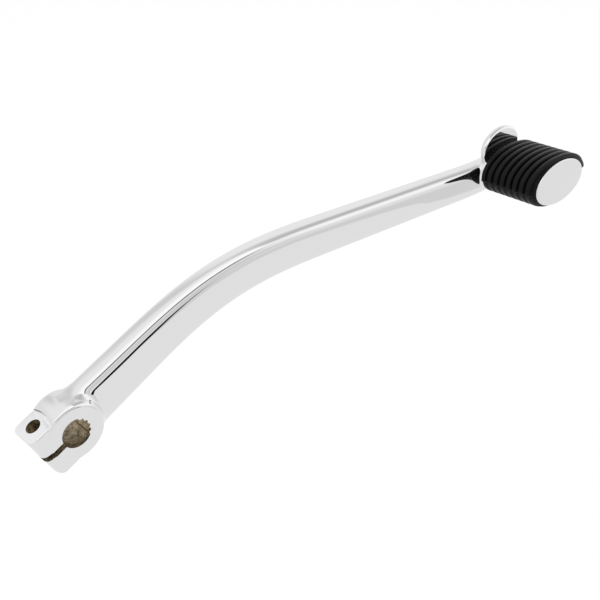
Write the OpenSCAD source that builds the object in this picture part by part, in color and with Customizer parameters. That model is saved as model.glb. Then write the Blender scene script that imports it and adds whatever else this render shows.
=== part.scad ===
// Kick start lever: one chromed steel forging and its rubber foot sleeve.
// The Y axis is the kick shaft. The origin is on the shaft's axis, at the
// face of the clamp that goes against the engine. The arm runs towards +X,
// and the foot pedal points outwards, towards -Y.

/* [Clamp] */
// Bore for the kick shaft, at the smooth wall
bore_d = 17; // [14:0.5:20]
// Plain pilot at the engine end of the bore, which guides the shaft in
pilot_d = 17.5; // [15:0.5:21]
// Depth of the pilot
pilot_l = 5; // [3:0.5:8]
// Length of the clamp along the shaft
clamp_w = 21.4; // [16:0.2:28]
// Outside diameter of the clamp round the bore
clamp_d = 34.4; // [30:0.2:44]
// How far the split end reaches behind the shaft's axis
split_end = 21.3; // [18:0.1:26]
// Height of the bolt's seat above the shaft's axis
seat_h = 15; // [12:0.5:18]
// Depth of the split end below the shaft's axis
split_drop = 15.3; // [12:0.1:18]
// Width of the saw cut that lets the clamp close
slot_w = 3.6; // [2:0.1:3.8]

/* [Clamp bolt] */
// Clearance hole for an M8 bolt
bolt_d = 8.5; // [6.5:0.1:10.5]
// Distance of the bolt behind the shaft's axis
bolt_back = 12.7; // [11:0.1:15]
// Radius of the cutter that mills the bolt's seat
cutter_r = 23; // [12:1:30]

/* [Serration] */
// Number of teeth that are cut in the bore
teeth = 5; // [3:1:7]
// Teeth that would fill the whole turn
teeth_per_turn = 16; // [12:1:24]
// Height of a tooth above the bore's wall
tooth_h = 1.1; // [0.6:0.1:1.4]
// Angle of the middle tooth from the arm
tooth_mid = -2; // [-20:1:20]

/* [Arm] */
// Length of the arm's centre line, from the shaft's axis
arm_l = 330; // [300:1:360]
// Height of the arm's section at the shaft's axis
arm_h = 30.4; // [26:0.2:34]
// Height lost for each millimetre along the arm
arm_taper = 0.03; // [0.01:0.005:0.04]
// Thickness of the arm at the clamp
arm_t = 14; // [11:0.5:16]
// Thickness of the arm at the pedal
arm_tip_t = 12; // [10:0.5:14]
// Where the bend begins, along the centre line
bend_from = 50; // [30:1:80]
// Where the bend ends
bend_to = 185; // [140:1:220]
// Angle that the arm falls away through the bend
arm_fall = 22; // [15:0.5:28]
// Angle that the arm leans outwards through the bend
arm_lean = 10; // [5:0.5:15]
// Length over which the tip turns up again to meet the pedal
tip_turn_l = 40; // [20:1:60]
// Angle that the tip turns up
tip_turn = 12; // [0:1:20]

/* [Pedal] */
// Length of the oval foot pedal's head
head_l = 48.4; // [40:0.2:56]
// Height of the oval head
head_h = 28.2; // [22:0.2:34]
// Thickness of the head
head_t = 1.5; // [1:0.5:4]
// Thickness of the ear behind the rubber
ear_t = 4; // [3:0.5:6]
// Width of the oval ear
ear_w = 35.6; // [24:0.2:40]
// Height of the ear's oval
ear_h = 26; // [20:0.5:32]
// Height of the ear's top above the post's axis
ear_top = 27.6; // [24:0.2:36]
// Length of the post from the arm's face to the head
post_l = 38.5; // [30:0.5:60]
// Number of ribs round the rubber
ribs = 8; // [7:1:12]
// Height of a rib
rib_h = 2.4; // [1.5:0.1:3]
// How far the ribs stand past the head at the oval's ends
rubber_over = 5; // [3:0.5:7]
// How far they stand past it above and below
rubber_side = 2; // [1:0.5:4]
// Tilt of the oval, tip down, from the clamp's own line
pedal_tilt = 25; // [15:1:35]

/* [Pose] */
// Angle that the arm rises at the clamp, with the pedal's tread level
lift = 27.5; // [0:0.5:40]

/* [Hidden] */
$fn = 96;
hull_sides = 32;
mid_y = -clamp_w / 2;
arm_steps = 46;
arm_sides = 32;
arm_power = 3.5;
step_l = arm_l / arm_steps;
oval_sides = 40;
oval_power = 2.2;
back_round = 3;
front_round = 2;
plan_round = 6;
foot_round = 5;
seat_round = 1;
post_w = 40;
post_h = 19;
boss_w = 48;
boss_h = 25;
boss_l = 6;
ear_at = [-6, ear_top - ear_h / 2];
heel_at = [-11, -1];
heel_r = 10;
head_power = 2;
head_sides = 64;
tooth_root = 0.8;
tooth_sunk = 0.02;
pedal_rise = 0.5;
pedal_back = 2;
rib_pitch = post_l / ribs;
seat_edge = -4.5;
neck_from = 4;
neck_l = 14;
neck_h = 1.6;
neck_inset = 1.5;
tip_round = 11;
past = 1;

// Rises from 0 to 1 as u goes from 0 to 1, level at both ends
function ease(u) = let (v = min(max(u, 0), 1)) v * v * (3 - 2 * v);

// Share of the bend that is done at s along the centre line
function bent(s) = ease((s - bend_from) / (bend_to - bend_from));

// Direction of the arm at s
function ahead(s) = let (
    f = arm_fall * bent(s) - tip_turn * ease((s - arm_l + tip_turn_l) / tip_turn_l),
    w = arm_lean * bent(s))
    [cos(f) * cos(w), -cos(f) * sin(w), -sin(f)];

// Direction across the arm's thickness, and up its height
function outward(s) = let (c = cross(ahead(s), [0, 0, 1])) c / norm(c);
function upward(s) = cross(outward(s), ahead(s));

// Points along the centre line, one for each step
centre_line = [for (i = 0, p = [0, mid_y, 0]; i <= arm_steps;
    p = p + step_l * ahead((i + 0.5) * step_l), i = i + 1) p];
arm_end = centre_line[arm_steps];

// Signed power, which turns a circle into a rounded oval or box
function bow(v, power) = sign(v) * pow(abs(v), 2 / power);
function oval(w, h, power, sides) = [for (i = [0 : sides - 1])
    let (a = 360 * (i + 0.5) / sides) [w / 2 * bow(cos(a), power), h / 2 * bow(sin(a), power)]];

// The arm swells into the clamp, and its far end is rounded off
function neck(s) = 1 - ease((s - neck_from) / neck_l);
function tip(s) = let (u = min(max((s - arm_l) / tip_round + 1, 0), 0.98)) sqrt(1 - u * u);
function arm_high(s) = (arm_h - arm_taper * s + neck_h * neck(s)) * tip(s);
function arm_thick(s) = arm_t + (arm_tip_t - arm_t) * s / arm_l
    + (clamp_w - arm_t - neck_inset) * neck(s);

// Closed skin through rings of points that all have the same count
module skin(rings) {
    n = len(rings[0]);
    last = len(rings) - 1;
    polyhedron(
        points = [for (r = rings) for (p = r) p],
        faces = concat(
            [[for (i = [n - 1 : -1 : 0]) i]],
            [for (k = [0 : last - 1]) for (i = [0 : n - 1])
                [k * n + i, k * n + (i + 1) % n, (k + 1) * n + (i + 1) % n]],
            [for (k = [0 : last - 1]) for (i = [0 : n - 1])
                [k * n + i, (k + 1) * n + (i + 1) % n, (k + 1) * n + i]],
            [[for (i = [0 : n - 1]) last * n + i]]));
}

// Arc of points about c, from angle a to angle b
function arc(c, r, a, b, n = 6) = [for (i = [0 : n])
    let (t = a + (b - a) * i / n) c + r * [cos(t), sin(t)]];

// Draws along the shaft: child z = 0 is the engine face, and z grows outwards
module along_shaft() {
    rotate([90, 0, 0]) children();
}

// Round clamp, with soft edges at the engine face and crisp ones outside
module clamp_round() {
    r = clamp_d / 2;
    along_shaft() rotate_extrude() polygon(concat(
        [[0, 0]],
        arc([r - back_round, back_round], back_round, -90, 0),
        arc([r - front_round, clamp_w - front_round], front_round, 0, 90, 3),
        [[0, clamp_w]]));
}

// Split end: its side view, cut to its plan
module split_block() {
    intersection() {
        along_shaft() linear_extrude(clamp_w) polygon(concat(
            [[seat_edge, seat_h]],
            arc([seat_round - split_end, seat_h - seat_round], seat_round, 90, 180, 2),
            arc([foot_round - split_end, foot_round - split_drop], foot_round, 180, 270),
            [[seat_edge, -split_drop]]));
        translate([0, 0, -clamp_d / 2]) linear_extrude(clamp_d) polygon(concat(
            [[0, 0]],
            arc([plan_round - split_end, -plan_round], plan_round, 90, 180),
            arc([plan_round - split_end, plan_round - clamp_w], plan_round, 180, 270),
            [[0, -clamp_w]]));
    }
}

// Everything above the bolt's seat, as the cutter clears it
module seat_cut() {
    translate([seat_edge - cutter_r, mid_y, seat_h])
        cylinder(r = cutter_r, h = clamp_d);
}

// Forged arm, swept along its centre line
module arm() {
    skin([for (i = [1 : arm_steps])
        let (s = i * step_l, c = centre_line[i])
        [for (q = oval(arm_thick(s), arm_high(s), arm_power, arm_sides))
            c + q[0] * outward(s) + q[1] * upward(s)]]);
}

// Draws in the pedal's own axes: x along the oval, y up it, z outwards
pedal_centre = [arm_end[0] - pedal_back, arm_end[1] - arm_tip_t / 2, arm_end[2] + pedal_rise];
module on_pedal() {
    translate(pedal_centre) rotate([0, pedal_tilt, 0]) along_shaft() children();
}

// Ear behind the rubber, drawn up from the boss's heel to guard the foot
module ear() {
    on_pedal() translate([0, 0, -boss_l]) linear_extrude(ear_t) hull() {
        translate(ear_at) polygon(oval(ear_w, ear_h, 2, hull_sides));
        translate(heel_at) circle(heel_r, $fn = hull_sides);
    }
}

// Oval boss at the arm's end, the post that the rubber is stretched over, and its head
module post() {
    on_pedal() {
        translate([0, 0, -boss_l]) linear_extrude(boss_l)
            polygon(oval(boss_w, boss_h, oval_power, oval_sides));
        linear_extrude(post_l)
            polygon(oval(post_w, post_h, oval_power, oval_sides));
        translate([0, 0, post_l]) linear_extrude(head_t)
            polygon(oval(head_l, head_h, head_power, head_sides));
    }
}

// Teeth on the arm's side of the bore, clear of the pilot
module serration() {
    pitch = 360 / teeth_per_turn;
    root_r = bore_d / 2;
    along_shaft() translate([0, 0, pilot_l]) linear_extrude(clamp_w - pilot_l)
        for (k = [0 : teeth - 1]) {
            a = tooth_mid + pitch * (k - (teeth - 1) / 2);
            polygon([
                (root_r + tooth_root) * [cos(a - pitch / 2), sin(a - pitch / 2)],
                (root_r - tooth_sunk) * [cos(a - pitch / 2), sin(a - pitch / 2)],
                (root_r - tooth_h) * [cos(a), sin(a)],
                (root_r - tooth_sunk) * [cos(a + pitch / 2), sin(a + pitch / 2)],
                (root_r + tooth_root) * [cos(a + pitch / 2), sin(a + pitch / 2)]]);
        }
}

module lever() {
    color("gainsboro") rotate([0, -lift, 0]) {
        difference() {
            union() {
                clamp_round();
                split_block();
                arm();
                ear();
                post();
            }
            seat_cut();
            along_shaft() translate([0, 0, -past]) cylinder(d = bore_d, h = clamp_w + 2 * past);
            along_shaft() translate([0, 0, -past]) cylinder(d = pilot_d, h = pilot_l + past);
            translate([-split_end - past, -clamp_w - past, -slot_w / 2])
                cube([split_end + past, clamp_w + 2 * past, slot_w]);
            translate([-bolt_back, mid_y, -clamp_d / 2]) cylinder(d = bolt_d, h = clamp_d);
        }
        serration();
    }
}

// Each rib is a slope up, its crest, a slope down and a groove's floor, and the
// last crest draws in to the head: [share of the pitch, share of the height]
rib_profile = [[0, 0], [0.2, 1], [0.65, 1], [0.85, 0]];
rubber_rings = concat(
    [for (k = [0 : ribs - 1]) for (q = rib_profile) [(k + q[0]) * rib_pitch, q[1]]],
    [[post_l, 0.3]]);

module pedal_rubber() {
    color([0.12, 0.12, 0.13]) rotate([0, -lift, 0]) on_pedal() {
        difference() {
            skin([for (r = rubber_rings) let (sunk = 2 * rib_h * (1 - r[1]))
                [for (p = oval(head_l + 2 * rubber_over - sunk, head_h + 2 * rubber_side - sunk,
                        oval_power, oval_sides))
                    [p[0], p[1], r[0]]]]);
            linear_extrude(post_l + past)
                polygon(oval(post_w, post_h, oval_power, oval_sides));
        }
    }
}

lever();
pedal_rubber();
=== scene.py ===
import bpy
import numpy as np
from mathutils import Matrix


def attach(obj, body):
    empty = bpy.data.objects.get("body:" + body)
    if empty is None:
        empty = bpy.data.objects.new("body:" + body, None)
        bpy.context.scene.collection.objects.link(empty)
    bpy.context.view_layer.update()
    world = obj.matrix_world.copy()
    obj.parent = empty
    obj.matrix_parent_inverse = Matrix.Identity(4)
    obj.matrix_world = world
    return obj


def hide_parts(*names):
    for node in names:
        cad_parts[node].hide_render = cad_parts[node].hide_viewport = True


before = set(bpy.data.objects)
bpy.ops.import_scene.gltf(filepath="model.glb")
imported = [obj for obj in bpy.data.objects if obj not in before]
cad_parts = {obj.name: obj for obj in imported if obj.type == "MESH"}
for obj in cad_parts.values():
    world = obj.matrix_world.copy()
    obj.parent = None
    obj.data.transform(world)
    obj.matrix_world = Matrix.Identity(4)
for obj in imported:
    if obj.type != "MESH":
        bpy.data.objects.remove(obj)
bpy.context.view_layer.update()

import openvdb

# The lever: one steel forging, ground, polished and chromed. Its clamp goes on the kick
# shaft, and its arm bends down and leans out to the foot. It is drawn in millimetres with
# the clamp level, Y along the kick shaft and X from the clamp to the foot, and then lifted.
lift = np.radians(27.5)
clamp_w = 21.4
clamp_r = 17.2
clamp_crown = 0.6
mid_y = -clamp_w / 2
split_end = 21.3
split_drop = 15.3
seat_h = 15
arm_l = 330
arm_start = 6
arm_h = 30.4
arm_taper = 0.03
arm_t = 14
arm_tip_t = 12
arm_power = 3.5
bend_from = 50
bend_to = 185
arm_fall = 22
arm_lean = 10
tip_turn_l = 40
tip_turn = 12
tip_round = 11
neck_from = 4
neck_l = 14
neck_h = 1.6
neck_inset = 1.5


def ease(u):
    """Rises from 0 to 1 as u goes from 0 to 1, level at both ends: v²(3 − 2v)."""
    v = np.clip(u, 0, 1)
    return v * v * (3 - 2 * v)


def turns(s):
    """Fall and lean of the arm, in radians, at s along its centre line. Both come with the
    bend, and the tip turns up a little again."""
    bent = ease((s - bend_from) / (bend_to - bend_from))
    raised = ease((s - arm_l + tip_turn_l) / tip_turn_l)
    return np.radians(arm_fall * bent - tip_turn * raised), np.radians(arm_lean * bent)


def ahead(s):
    """Direction along the arm: (cos f cos w, −cos f sin w, −sin f)."""
    fall, lean = turns(s)
    return np.stack([np.cos(fall) * np.cos(lean), -np.cos(fall) * np.sin(lean), -np.sin(fall)], -1)


station = np.arange(arm_l + 1.0)
centre_line = [0, mid_y, 0] + np.vstack([np.zeros(3), np.cumsum(ahead(station[1:] - 0.5), 0)])


def oval_distance(x, y, a, b, power=2.2):
    """Distance to |x/a|ⁿ + |y/b|ⁿ = 1, as the nth root less 1, divided by the root's slope."""
    across, up = np.abs(x) / a, np.abs(y) / b
    root = np.maximum((across ** power + up ** power) ** (1 / power), 1e-6)
    return (root - 1) / np.hypot((across / root) ** (power - 1) / a, (up / root) ** (power - 1) / b)


def arm_distance(p):
    """Distance to the arm's skin: a rounded box section with u across it and v up it, at the
    nearest place s along the centre line. It swells in the neck, and its tip is round."""
    s = np.interp(p[:, 0], centre_line[:, 0], station)
    for _ in range(3):
        held = np.clip(s, 0, arm_l)
        middle = [np.interp(held, station, centre_line[:, i]) for i in range(3)]
        offset = p - np.stack(middle, -1)
        s = held + (offset * ahead(held)).sum(1)
    fall, lean = turns(held)
    forward = offset[:, 0] * np.cos(lean) - offset[:, 1] * np.sin(lean)
    u = -offset[:, 0] * np.sin(lean) - offset[:, 1] * np.cos(lean)
    v = forward * np.sin(fall) + offset[:, 2] * np.cos(fall)
    neck = 1 - ease((held - neck_from) / neck_l)
    tip = np.sqrt(1 - np.clip((held - arm_l) / tip_round + 1, 0, 0.98) ** 2)
    thick = arm_t + (arm_tip_t - arm_t) * held / arm_l + (clamp_w - arm_t - neck_inset) * neck
    high = (arm_h - arm_taper * held + neck_h * neck) * tip
    skin = oval_distance(u, v, thick / 2, high / 2, arm_power)
    return np.maximum(skin, np.maximum(s - arm_l, arm_start - s))


def both(a, b, r):
    """Inside a and inside b, with the edge between them rounded to the radius r."""
    inner = np.minimum(np.maximum(a, b) + r, 0)
    return inner + np.hypot(np.maximum(a + r, 0), np.maximum(b + r, 0)) - r


def either(a, b, k):
    """Inside a or inside b, with a fillet between them: min(a, b) − h³k/6, h = 1 − |a − b|/k."""
    h = np.maximum(1 - np.abs(a - b) / k, 0)
    return np.minimum(a, b) - h ** 3 * k / 6


def clamp_distance(p):
    """The slightly crowned barrel round the shaft, and the block that the saw cut splits.
    The block's corners are rounded by 5 below, 1 at the seat and 6 in plan."""
    x, y, z = p.T
    barrel = np.hypot(x, z) - clamp_r + clamp_crown * ((y - mid_y) / mid_y) ** 2
    back = -split_end - x
    top = seat_h + np.clip(-8 - x, 0, 0.3)
    side = np.maximum(both(back, -split_drop - z, 5), both(back, z - top, 1))
    plan = np.maximum(both(back, y, 6), both(back, -clamp_w - y, 6))
    return barrel, np.maximum(both(side, plan, 0.8), x)


# The foot, forged with the arm: an oval ear that stands up behind the rubber, the boss
# that the rubber sits against, and the oval post that it is stretched over. Their own
# axes have x along the oval, y up it and z outwards from the engine.
pedal_tilt = np.radians(25)
pedal_centre = centre_line[-1] + [-2, -arm_tip_t / 2, 0.5]
ear_t = 4
boss_l = 6
foot_l = 38.5
post_a = 20
post_b = 9.5
head_a = 24.2
head_b = 14.1


def to_pedal(p):
    """Places in the pedal's own axes."""
    d = p - pedal_centre
    c, s = np.cos(pedal_tilt), np.sin(pedal_tilt)
    return np.stack([d[:, 0] * c - d[:, 2] * s, d[:, 0] * s + d[:, 2] * c, -d[:, 1]], -1)


def from_pedal(q):
    """Places in the lever's axes."""
    c, s = np.cos(pedal_tilt), np.sin(pedal_tilt)
    x, y, z = np.moveaxis(q, -1, 0)
    return pedal_centre + np.stack([x * c + y * s, -z, y * c - x * s], -1)


def foot_distance(p):
    """The ear, an oval and a round heel in one plate with round edges, joined to the boss
    by a fillet, and the post. The ear's back is the boss's back."""
    x, y, z = to_pedal(p).T
    outline = either(oval_distance(x + 6, y - 14.6, 17.8, 13, 2), np.hypot(x + 11, y + 1) - 10, 8)
    ear = both(outline, np.abs(z + boss_l - ear_t / 2) - ear_t / 2, 1.8)
    boss = both(oval_distance(x, y, 24, 12.5), np.abs(z + boss_l / 2) - boss_l / 2, 0.4)
    post = np.maximum(oval_distance(x, y, post_a, post_b), np.abs(z - foot_l / 2) - foot_l / 2)
    return either(ear, boss, 5), post


def forging_distance(p):
    """The whole forging: its forms, joined by fillets, between the faces of the clamp, whose
    edges are rounded by 3 at the engine and 2 outside. The fillet at the arm's root is wide
    on the outer side and narrow on the engine side."""
    barrel, block = clamp_distance(p)
    ear, post = foot_distance(p)
    arm = arm_distance(p)
    root = 5 - 2 * np.clip((p[:, 1] - mid_y) / 6, -1, 1)
    hub = either(either(barrel, arm, root), block, 1)
    faces = np.abs(p[:, 1] - mid_y) + mid_y - 0.8 * np.maximum(p[:, 0] - 25, 0)
    edge = np.where(p[:, 1] > mid_y, 3, 2)
    return np.minimum(either(both(hub, faces, edge), ear, 2.5), post)


def slopes(p, gap=0.02):
    """Gradient of the forging's distance, by central differences."""
    ahead_of, behind = ([forging_distance(p + side * axis) for axis in np.eye(3)]
                        for side in (gap, -gap))
    return (np.stack(ahead_of, -1) - np.stack(behind, -1)) / (2 * gap)


def forging_skin(step=0.75, coarse=4):
    """Vertices and quads where the distance is 0. It is worked out on a coarse grid, and
    again at the fine step near the skin, whose vertices are then moved onto the formula."""
    low, high = np.array([-26, -95, -100]), np.array([346, 4, 24])
    count = np.ceil((high - low) / (step * coarse)).astype(int)
    places = [low[i] + step * coarse * (np.arange(count[i]) + 0.5) for i in range(3)]
    centres = np.stack(np.meshgrid(*places, indexing="ij"), -1).reshape(-1, 3)
    rough = forging_distance(centres).reshape(count)
    fine = rough.repeat(coarse, 0).repeat(coarse, 1).repeat(coarse, 2)
    near = np.argwhere(np.abs(fine) < 2.2 * coarse * step)
    fine[tuple(near.T)] = forging_distance(low + step * (near + 0.5))
    grid = openvdb.FloatGrid()
    grid.copyFromArray(fine.astype(np.float32))
    points, quads = grid.convertToQuads(0)
    points = low + step * (points + 0.5)
    for _ in range(3):
        slope = slopes(points)
        points = points - slope * (forging_distance(points) / (slope ** 2).sum(1))[:, None]
    return points, quads


def new_object(name, points, faces, *materials):
    """An object with a smooth mesh, at the origin."""
    mesh = bpy.data.meshes.new(name)
    mesh.from_pydata(points.tolist(), [], faces.tolist() if hasattr(faces, "tolist") else faces)
    for material in materials:
        mesh.materials.append(material)
    mesh.shade_smooth()
    obj = bpy.data.objects.new(name, mesh)
    bpy.context.scene.collection.objects.link(obj)
    return obj


def new_material(name, **inputs):
    """A material, its principled shader with these inputs set, and a function that adds nodes."""
    material = bpy.data.materials.new(name)
    material.use_nodes = True
    nodes, links = material.node_tree.nodes, material.node_tree.links
    shader = nodes["Principled BSDF"]
    for key, value in inputs.items():
        shader.inputs[key.replace("_", " ")].default_value = value

    def add(kind, sources=(), **settings):
        node = nodes.new(kind)
        for key, value in settings.items():
            if hasattr(node, key):
                setattr(node, key, value)
            else:
                node.inputs[key.replace("_", " ")].default_value = value
        for socket, source in dict(sources).items():
            links.new(source, node.inputs[socket])
        return node

    return material, shader, add, links


def grained_material(name, scale, detail, strength, distance, **inputs):
    """A material with a fine bump in its surface, from noise of this scale and detail."""
    material, shader, add, links = new_material(name, **inputs)
    place = add("ShaderNodeTexCoord").outputs["Object"]
    noise = add("ShaderNodeTexNoise", {"Vector": place}, Scale=scale, Detail=detail)
    bump = add("ShaderNodeBump", {"Height": noise.outputs["Fac"]}, Strength=strength, Distance=distance)
    links.new(bump.outputs["Normal"], shader.inputs["Normal"])
    return material


# Chrome with the faint waves of polishing, and milled steel, with painted shade making it darker on the
# cutter's wall
chrome = grained_material(
    "chrome", 45, 1, 0.25, 0.0004, Base_Color=(0.72, 0.72, 0.725, 1), Metallic=1, Roughness=0.03)
milled = grained_material(
    "milled_steel", 600, 3, 0.4, 0.0002, Base_Color=(0.8, 0.8, 0.81, 1), Metallic=1, Roughness=0.3)
# Painted shade: the cutter's wall is the same milled steel, given a darker copy of its colour
shaded_milled_wall = grained_material(
    "shaded_milled_wall", 900, 2, 0.4, 0.0002, Base_Color=(0.22, 0.22, 0.225, 1), Metallic=1, Roughness=0.35)

# Raw steel, stained brown and pitted, with painted shade that darkens it low down in the bore and
# brightens it near the top
raw, shader, add, links = new_material("raw_steel", Metallic=0.8, Roughness=0.42)
place = add("ShaderNodeTexCoord").outputs["Object"]
stain = add("ShaderNodeTexNoise", {"Vector": place}, Scale=220, Detail=5, Roughness=0.7)
tint = add("ShaderNodeValToRGB", {"Fac": stain.outputs["Fac"]})
tint.color_ramp.elements[0].position = 0.35
tint.color_ramp.elements[0].color = (0.07, 0.045, 0.022, 1)
tint.color_ramp.elements[1].position = 0.68
tint.color_ramp.elements[1].color = (0.8, 0.67, 0.44, 1)
pits = add("ShaderNodeBump", {"Height": stain.outputs["Fac"]}, Strength=0.8, Distance=0.0006)
# Painted shade: the stained colour is scaled by height, dark low down in the bore and brighter near the
# top
height = add("ShaderNodeSeparateXYZ", {"Vector": place}).outputs["Z"]
shade = add(
    "ShaderNodeMapRange", {"Value": height}, From_Min=-0.012, From_Max=0.002, To_Min=0.3, To_Max=1.2)
painted_shade_tint = add("ShaderNodeVectorMath", {0: tint.outputs["Color"]}, operation="SCALE")
links.new(shade.outputs["Result"], painted_shade_tint.inputs["Scale"])
links.new(painted_shade_tint.outputs["Vector"], shader.inputs["Base Color"])
links.new(pits.outputs["Normal"], shader.inputs["Normal"])


def prism(name, outline, low, high, material, flat="y", wall=None):
    """A cutter: an outline of (x, z) drawn along Y, or of (x, y) drawn along Z. Its ends
    leave the first material, and its wall the second one where that is given."""
    n = len(outline)
    ends = []
    for level in (low, high):
        w = np.full(n, level, float)
        columns = [outline[:, 0], w, outline[:, 1]] if flat == "y" else [*outline.T, w]
        ends.append(np.stack(columns, -1))
    walls = [[i, (i + 1) % n, n + (i + 1) % n, n + i] for i in range(n)]
    faces = [list(range(n))[::-1], *walls, list(range(n, 2 * n))]
    if flat == "y":
        faces = [face[::-1] for face in faces]
    cutter = new_object(name, np.vstack(ends), faces, material, wall or material)
    cutter.data.polygons.foreach_set("material_index", [0, *[1] * n, 0])
    return cutter


def circle(x, y, r, n):
    """Points on a circle."""
    a = 2 * np.pi * (np.arange(n) + 0.5) / n
    return np.stack([x + r * np.cos(a), y + r * np.sin(a)], -1)


def serrated(r, teeth=5, pitch=22.5, middle=-2, height=1.1, n=320):
    """The bore's outline: a circle with triangular teeth on the arm's side."""
    a = 360 * (np.arange(n) + 0.5) / n
    turn = (a - middle + 180) % 360 - 180
    rise = 1 - 2 * np.abs(turn / pitch - np.round(turn / pitch))
    tooth = np.where(np.abs(turn) < pitch * teeth / 2, rise, 0)
    reach = r - height * tooth
    return np.stack([reach * np.cos(np.radians(a)), reach * np.sin(np.radians(a))], -1)


# The machining of the forging: the bolt's seat is milled, the bore is broached with teeth
# and bored plain at the engine end, and a saw cut lets the clamp close on the shaft when
# the bolt in its hole is tightened. The chrome doesn't reach into these cuts.
bore_r = 8.5
pilot_r = 8.75
pilot_l = 5
bolt_r = 4.25
bolt_back = 12.7
seat_edge = -4.5
cutter_r = 23
slot_half = 1.8
past = 2
points, quads = forging_skin()
lever = new_object("lever_forging", points, quads, chrome)
slot = np.array([[-24, -slot_half], [-5, -slot_half], [-5, slot_half], [-24, slot_half]])
seat = circle(seat_edge - cutter_r, mid_y, cutter_r, 256)
cutters = [
    prism("seat", seat, seat_h, 2 * seat_h, milled, "z", shaded_milled_wall),
    prism("bore", serrated(bore_r), -clamp_w - past, 0.1 - pilot_l, raw),
    prism("pilot", circle(0, 0, pilot_r, 256), -pilot_l, past, raw),
    prism("saw_cut", slot, -clamp_w - past, past, raw),
    prism("bolt_hole", circle(-bolt_back, mid_y, bolt_r, 96), -25, 25, raw, "z"),
]
for cutter in cutters:
    cut = lever.modifiers.new(cutter.name, "BOOLEAN")
    cut.operation = "DIFFERENCE"
    cut.object = cutter
    cut.solver = "MANIFOLD"
    cut.material_mode = "TRANSFER"
ready = lever.evaluated_get(bpy.context.evaluated_depsgraph_get())
cut_mesh = bpy.data.meshes.new_from_object(ready)
lever.modifiers.clear()
lever.data = cut_mesh
for cutter in cutters:
    bpy.data.objects.remove(cutter)


def lifted(p):
    """The lever's own axes, turned up by the lift."""
    x, y, z = np.moveaxis(np.asarray(p), -1, 0)
    return np.stack([x * np.cos(lift) - z * np.sin(lift), y, x * np.sin(lift) + z * np.cos(lift)], -1)


def polish_normals(mesh):
    """Gives the polished skin the formula's own normals, and the cuts plain ones."""
    mesh.shade_smooth()
    mesh.set_sharp_from_angle(angle=np.radians(30))
    corner = np.zeros(len(mesh.loops), np.int32)
    mesh.loops.foreach_get("vertex_index", corner)
    place = np.zeros(3 * len(mesh.vertices))
    mesh.vertices.foreach_get("co", place)
    place = place.reshape(-1, 3)
    normal = np.zeros(3 * len(mesh.loops))
    mesh.corner_normals.foreach_get("vector", normal)
    normal = normal.reshape(-1, 3)
    slope = slopes(place)
    slope /= np.linalg.norm(slope, axis=1)[:, None]
    near = np.abs(forging_distance(place))[corner] < 0.01
    on_skin = near & ((slope[corner] * normal).sum(1) > 0.8)
    normal[on_skin] = slope[corner][on_skin]
    mesh.vertices.foreach_set("co", lifted(place).ravel() / 1000)
    mesh.normals_split_custom_set(lifted(normal).tolist())


polish_normals(lever.data)
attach(lever, "root")
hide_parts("lever")


# The oval head at the post's end: forged with it, polished and chromed, and slightly
# crowned. It stands out past the post all round and keeps the rubber on.
def ring_mesh(name, rings, material, closed):
    """A mesh through rings of points in the pedal's axes. closed joins the last ring to
    the first one, and otherwise both ends are capped."""
    m, n = rings.shape[:2]
    i, j = np.meshgrid(np.arange(m if closed else m - 1), np.arange(n), indexing="ij")
    k, l = (i + 1) % m, (j + 1) % n
    quads = np.stack([i * n + j, i * n + l, k * n + l, k * n + j], -1).reshape(-1, 4).tolist()
    if not closed:
        quads += [list(range(n))[::-1], list(range((m - 1) * n, m * n))]
    return new_object(name, lifted(from_pedal(rings.reshape(-1, 3))) / 1000, quads, material)


def head_rings(high=39.5, rim=0.5, crown=0.5, centre=14, n=160):
    """Rings out along the back, round the rim and in over the crowned face."""
    a = 2 * np.pi * np.arange(n) / n
    turn = np.radians(np.linspace(-90, 90, 11))
    back = np.linspace(centre, rim, 8)[:-1]
    face = np.linspace(rim, centre, 24)[1:]
    inset = np.concatenate([back, rim - rim * np.cos(turn), face])
    level = np.concatenate([
        np.full(len(back), foot_l),
        np.where(turn < 0, foot_l + rim, high - rim) + rim * np.sin(turn),
        high + crown * (1 - (1 - face / head_b) ** 2)])
    x = (head_a - inset)[:, None] * np.cos(a)
    y = (head_b - inset)[:, None] * np.sin(a)
    return np.stack([x, y, np.broadcast_to(level[:, None], x.shape)], -1)


head = ring_mesh("pedal_head", head_rings(), chrome, closed=False)
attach(head, "root")
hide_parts("lever")

# The rubber sleeve: one moulding in black rubber, with eight ribs round a soft oval and a
# crease low on each side. It is stretched over the post, between the boss and the head.
rubber = grained_material(
    "moulded_rubber", 900, 3, 0.25, 0.0003,
    Base_Color=(0.004, 0.0035, 0.0035, 1), Roughness=0.36, Specular_IOR_Level=0.12)


def oval_ring(a, half_w, half_h, power=2.2):
    """Places on |x/w|ⁿ + |y/h|ⁿ = 1 at the angles a, in degrees."""
    c, s = np.cos(np.radians(a)), np.sin(np.radians(a))
    x = half_w * np.sign(c) * np.abs(c) ** (2 / power)
    y = half_h * np.sign(s) * np.abs(s) ** (2 / power)
    return x, y


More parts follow.
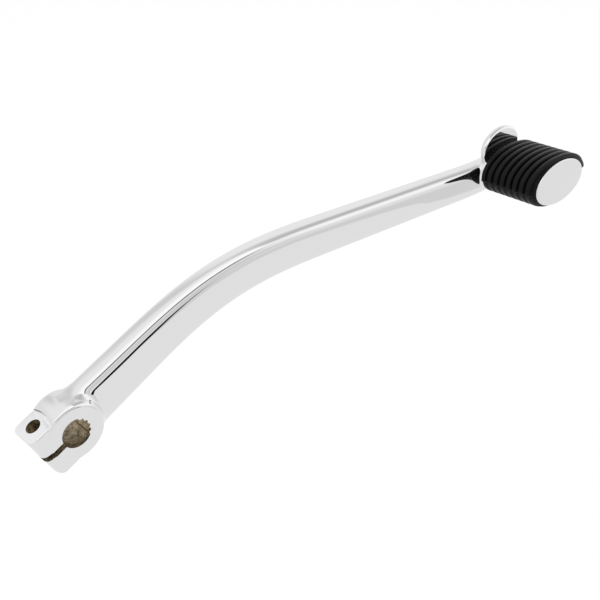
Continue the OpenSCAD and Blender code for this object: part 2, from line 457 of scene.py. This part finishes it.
def rubber_rings(ribs=8, around=240, samples=16, rib_h=2.4, step=1.5, toe_step=3.6):
    """Rings along the outside and back through the post's hole. A rib rises, stays and falls
    by ease() over its pitch, and the last one draws in to the head. Under the creases, at
    186 and 7 degrees, the ribs are shallow and the sleeve is lower by step, and by toe_step
    more at the toe."""
    over_ends, over_sides = 5, 2
    share = np.arange(ribs * samples + 1) / samples
    pitch = share % 1
    crest = ease(pitch / 0.2) * (1 - ease((pitch - 0.6) / 0.2))
    crest[-1] = 0.3
    a = 360 * np.arange(around) / around
    toe = 1 - ease((a - 6) / 3)
    under = ease((a - 185) / 2) + toe
    sunk = under * (step + toe_step * (toe + ease((a - 290) / 60)))
    floor = rib_h * (1 - 0.65 * under)
    inset = floor * (1 - crest)[:, None] + sunk
    x, y = oval_ring(a, head_a + over_ends - inset, head_b + over_sides - inset)
    outer = np.stack([x, y, np.broadcast_to(share[:, None] * foot_l / ribs, x.shape)], -1)
    hole = np.stack([*oval_ring(a, post_a, post_b), np.zeros(around)], -1)
    inner = [hole + [0, 0, level] for level in np.linspace(foot_l, 0, 4)]
    return np.concatenate([outer, inner])


sleeve = ring_mesh("rubber_sleeve", rubber_rings(), rubber, closed=True)
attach(sleeve, "root")
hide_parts("pedal_rubber")

# The studio: a white table, a large soft lamp overhead and one in front, and a light tent
# whose cloth is seen by polished metal alone. The cloth is white in front, greyer behind,
# darker at the right, and has two dark seams at the left front.
floor_z = -0.2
tent_centre = (0.15, -0.03, 0.05)
tent_r = 0.6


def white_where_seen(tree, seen, lit):
    """Camera, glossy and transmission rays meet the first shader, and the others the second."""
    path = tree.nodes.new("ShaderNodeLightPath")
    met = path.outputs["Is Camera Ray"]
    for kind in ("Is Glossy Ray", "Is Transmission Ray"):
        larger = tree.nodes.new("ShaderNodeMath")
        larger.operation = "MAXIMUM"
        tree.links.new(met, larger.inputs[0])
        tree.links.new(path.outputs[kind], larger.inputs[1])
        met = larger.outputs[0]
    mix = tree.nodes.new("ShaderNodeMixShader")
    tree.links.new(met, mix.inputs[0])
    tree.links.new(lit.outputs[0], mix.inputs[1])
    tree.links.new(seen.outputs[0], mix.inputs[2])
    return mix


world = bpy.data.worlds.new("studio")
bpy.context.scene.world = world
world.use_nodes = True
tree = world.node_tree
lit = tree.nodes["Background"]
lit.inputs["Strength"].default_value = 0.6
seen = tree.nodes.new("ShaderNodeBackground")
seen.inputs["Strength"].default_value = 1
for node in (lit, seen):
    node.inputs["Color"].default_value = (1, 1, 1, 1)
mix = white_where_seen(tree, seen, lit)
tree.links.new(mix.outputs[0], tree.nodes["World Output"].inputs["Surface"])

table = bpy.data.materials.new("white_table")
table.use_nodes = True
tree = table.node_tree
tree.nodes.remove(tree.nodes["Principled BSDF"])
lit = tree.nodes.new("ShaderNodeBsdfDiffuse")
lit.inputs["Color"].default_value = (0.95, 0.95, 0.95, 1)
glow = tree.nodes.new("ShaderNodeEmission")
seen = tree.nodes.new("ShaderNodeMixShader")
seen.inputs[0].default_value = 0.94
glow.inputs["Strength"].default_value = 1.02
tree.links.new(lit.outputs[0], seen.inputs[1])
tree.links.new(glow.outputs[0], seen.inputs[2])
mix = white_where_seen(tree, seen, lit)
tree.links.new(mix.outputs[0], tree.nodes["Material Output"].inputs["Surface"])
reach = 20
sides = ((-reach, -reach), (reach, -reach), (reach, reach), (-reach, reach))
corners = [[x, y, floor_z] for x, y in sides]
floor = new_object("floor", np.array(corners), [[0, 1, 2, 3]], table)


def rises(x, start, end):
    """From 0 at start to 1 at end, by ease()."""
    return ease((x - start) / (end - start))


def band(x, half, edge):
    """1 within half of 0, and down to 0 over the edge's width outside it."""
    return 1 - rises(np.abs(x), half, half + edge)


def toward(az, el):
    """Unit vector at an azimuth from +X and an elevation, in degrees."""
    a, e = np.radians(az), np.radians(el)
    return np.stack([np.cos(e) * np.cos(a), np.cos(e) * np.sin(a), np.sin(e)], -1)


def strip(h, stops, spread):
    """exp(-(d/spread)²), where d is the angle to an arc through the stops (azimuth, elevation)."""
    along = np.linspace(0, len(stops) - 1, 49)
    ways = toward(*np.array(stops).T).T
    arc = np.stack([np.interp(along, range(len(stops)), way) for way in ways], -1)
    arc /= np.linalg.norm(arc, axis=1)[:, None]
    angle = np.degrees(np.arccos(np.clip(h @ arc.T, -1, 1)).min(1))
    return np.exp(-(angle / spread) ** 2)


def tent_light(h):
    """Brightness of the cloth in the direction h. Each line adds or takes away one soft
    patch: the roof, the right front, the grey wall between the seams, a strip over the roof."""
    az = np.degrees(np.arctan2(h[:, 1], h[:, 0]))
    el = np.degrees(np.arcsin(np.clip(h[:, 2], -1, 1)))
    at_left = 1 - rises(az, -80, -73)
    at_right = rises(az, -80, -72) * (1 - rises(az, -20, 40))
    at_wall = rises(az, -125, -105) * (1 - rises(az, -76, -66))
    light = 0.99 + rises(el, 16, 28) * (0.1 + 0.32 * np.maximum(-h[:, 1], 0) * at_left)
    light += at_right * (0.28 * rises(el, -8, 10) - 0.72 * rises(el, 14, 46) + 0.34 * rises(el, 54, 80))
    light -= at_wall * rises(el, -14, -9) * (1 - rises(el, 14, 22)) * (0.2 - 0.1 * rises(el, -10, 5))
    over_roof = strip(h, [(113, 22), (102, 40), (92, 62), (65, 70), (-30, 76)], 10)
    light -= 0.27 * over_roof * rises(el, 15, 30)
    low_seam = band(el + 17.6 - 0.46 * np.minimum(az + 75, 0), 3.6, 1.5) * rises(az, -150, -120)
    high_seam = band(el - 16, 2.4, 1.5) * rises(az, -150, -120)
    light *= 1 - low_seam * (1 - rises(az, -76, -73))
    light *= 1 - high_seam * (1 - rises(az, -82, -76))
    return light * (1 - 0.14 * band(el + 20, 3, 6) * rises(az, -77, -73) * (1 - rises(az, -45, -30)))


def tent_mesh(step=0.75):
    """A sphere on a grid of azimuth and elevation, with its brightness in an attribute."""
    az, el = np.meshgrid(np.arange(-180, 180.1, step), np.arange(-90, 90.1, step), indexing="ij")
    h = toward(az, el).reshape(-1, 3)
    m, n = az.shape
    i, j = np.meshgrid(np.arange(m - 1), np.arange(n - 1), indexing="ij")
    first, second = i * n + j, (i + 1) * n + j
    quads = np.stack([first, first + 1, second + 1, second], -1).reshape(-1, 4)
    cloth = bpy.data.materials.new("tent_cloth")
    cloth.use_nodes = True
    tree = cloth.node_tree
    tree.nodes.remove(tree.nodes["Principled BSDF"])
    level = tree.nodes.new("ShaderNodeAttribute")
    level.attribute_name = "light"
    glow = tree.nodes.new("ShaderNodeEmission")
    tree.links.new(level.outputs["Fac"], glow.inputs["Strength"])
    tree.links.new(glow.outputs[0], tree.nodes["Material Output"].inputs["Surface"])
    tent = new_object("light_tent", h * tent_r + tent_centre, quads, cloth)
    tent.data.attributes.new("light", "FLOAT", "POINT").data.foreach_set("value", tent_light(h))
    return tent


tent = tent_mesh()
tent.visible_camera = tent.visible_diffuse = tent.visible_shadow = tent.visible_transmission = False


def softbox(name, place, target, size, watts):
    """A square area lamp at place, facing target."""
    lamp = bpy.data.lights.new(name, "AREA")
    lamp.shape = "RECTANGLE"
    lamp.size, lamp.size_y = size
    lamp.energy = watts
    obj = bpy.data.objects.new(name, lamp)
    obj.location = place
    x, y, z = np.array(target) - np.array(place)
    obj.rotation_euler = [np.arctan2(np.hypot(x, y), -z), 0, np.arctan2(-x, y)]
    obj.visible_glossy = False
    bpy.context.scene.collection.objects.link(obj)


softbox("overhead", (0.15, 0.3, 0.9), (0.15, 0, 0), (1.2, 1.0), 9)
softbox("front", (-0.5, -0.7, 0.6), (0.2, 0, 0), (0.5, 0.5), 1.5)

# The camera, 42 degrees round to the left of the clamp's axis and 28 above it, near enough
# for the clamp to look about a third larger than the pedal does.
lens = bpy.data.cameras.new("camera")
lens.lens = 56.06
lens.sensor_width = 36
lens.clip_start = 0.01
camera = bpy.data.objects.new("camera", lens)
camera.location = (-0.17777, -0.38991, 0.28923)
camera.rotation_euler = np.radians([90 - 28.26, 0, -42.11])
bpy.context.scene.collection.objects.link(camera)
bpy.context.scene.camera = camera
bpy.context.scene.view_settings.view_transform = "Standard"
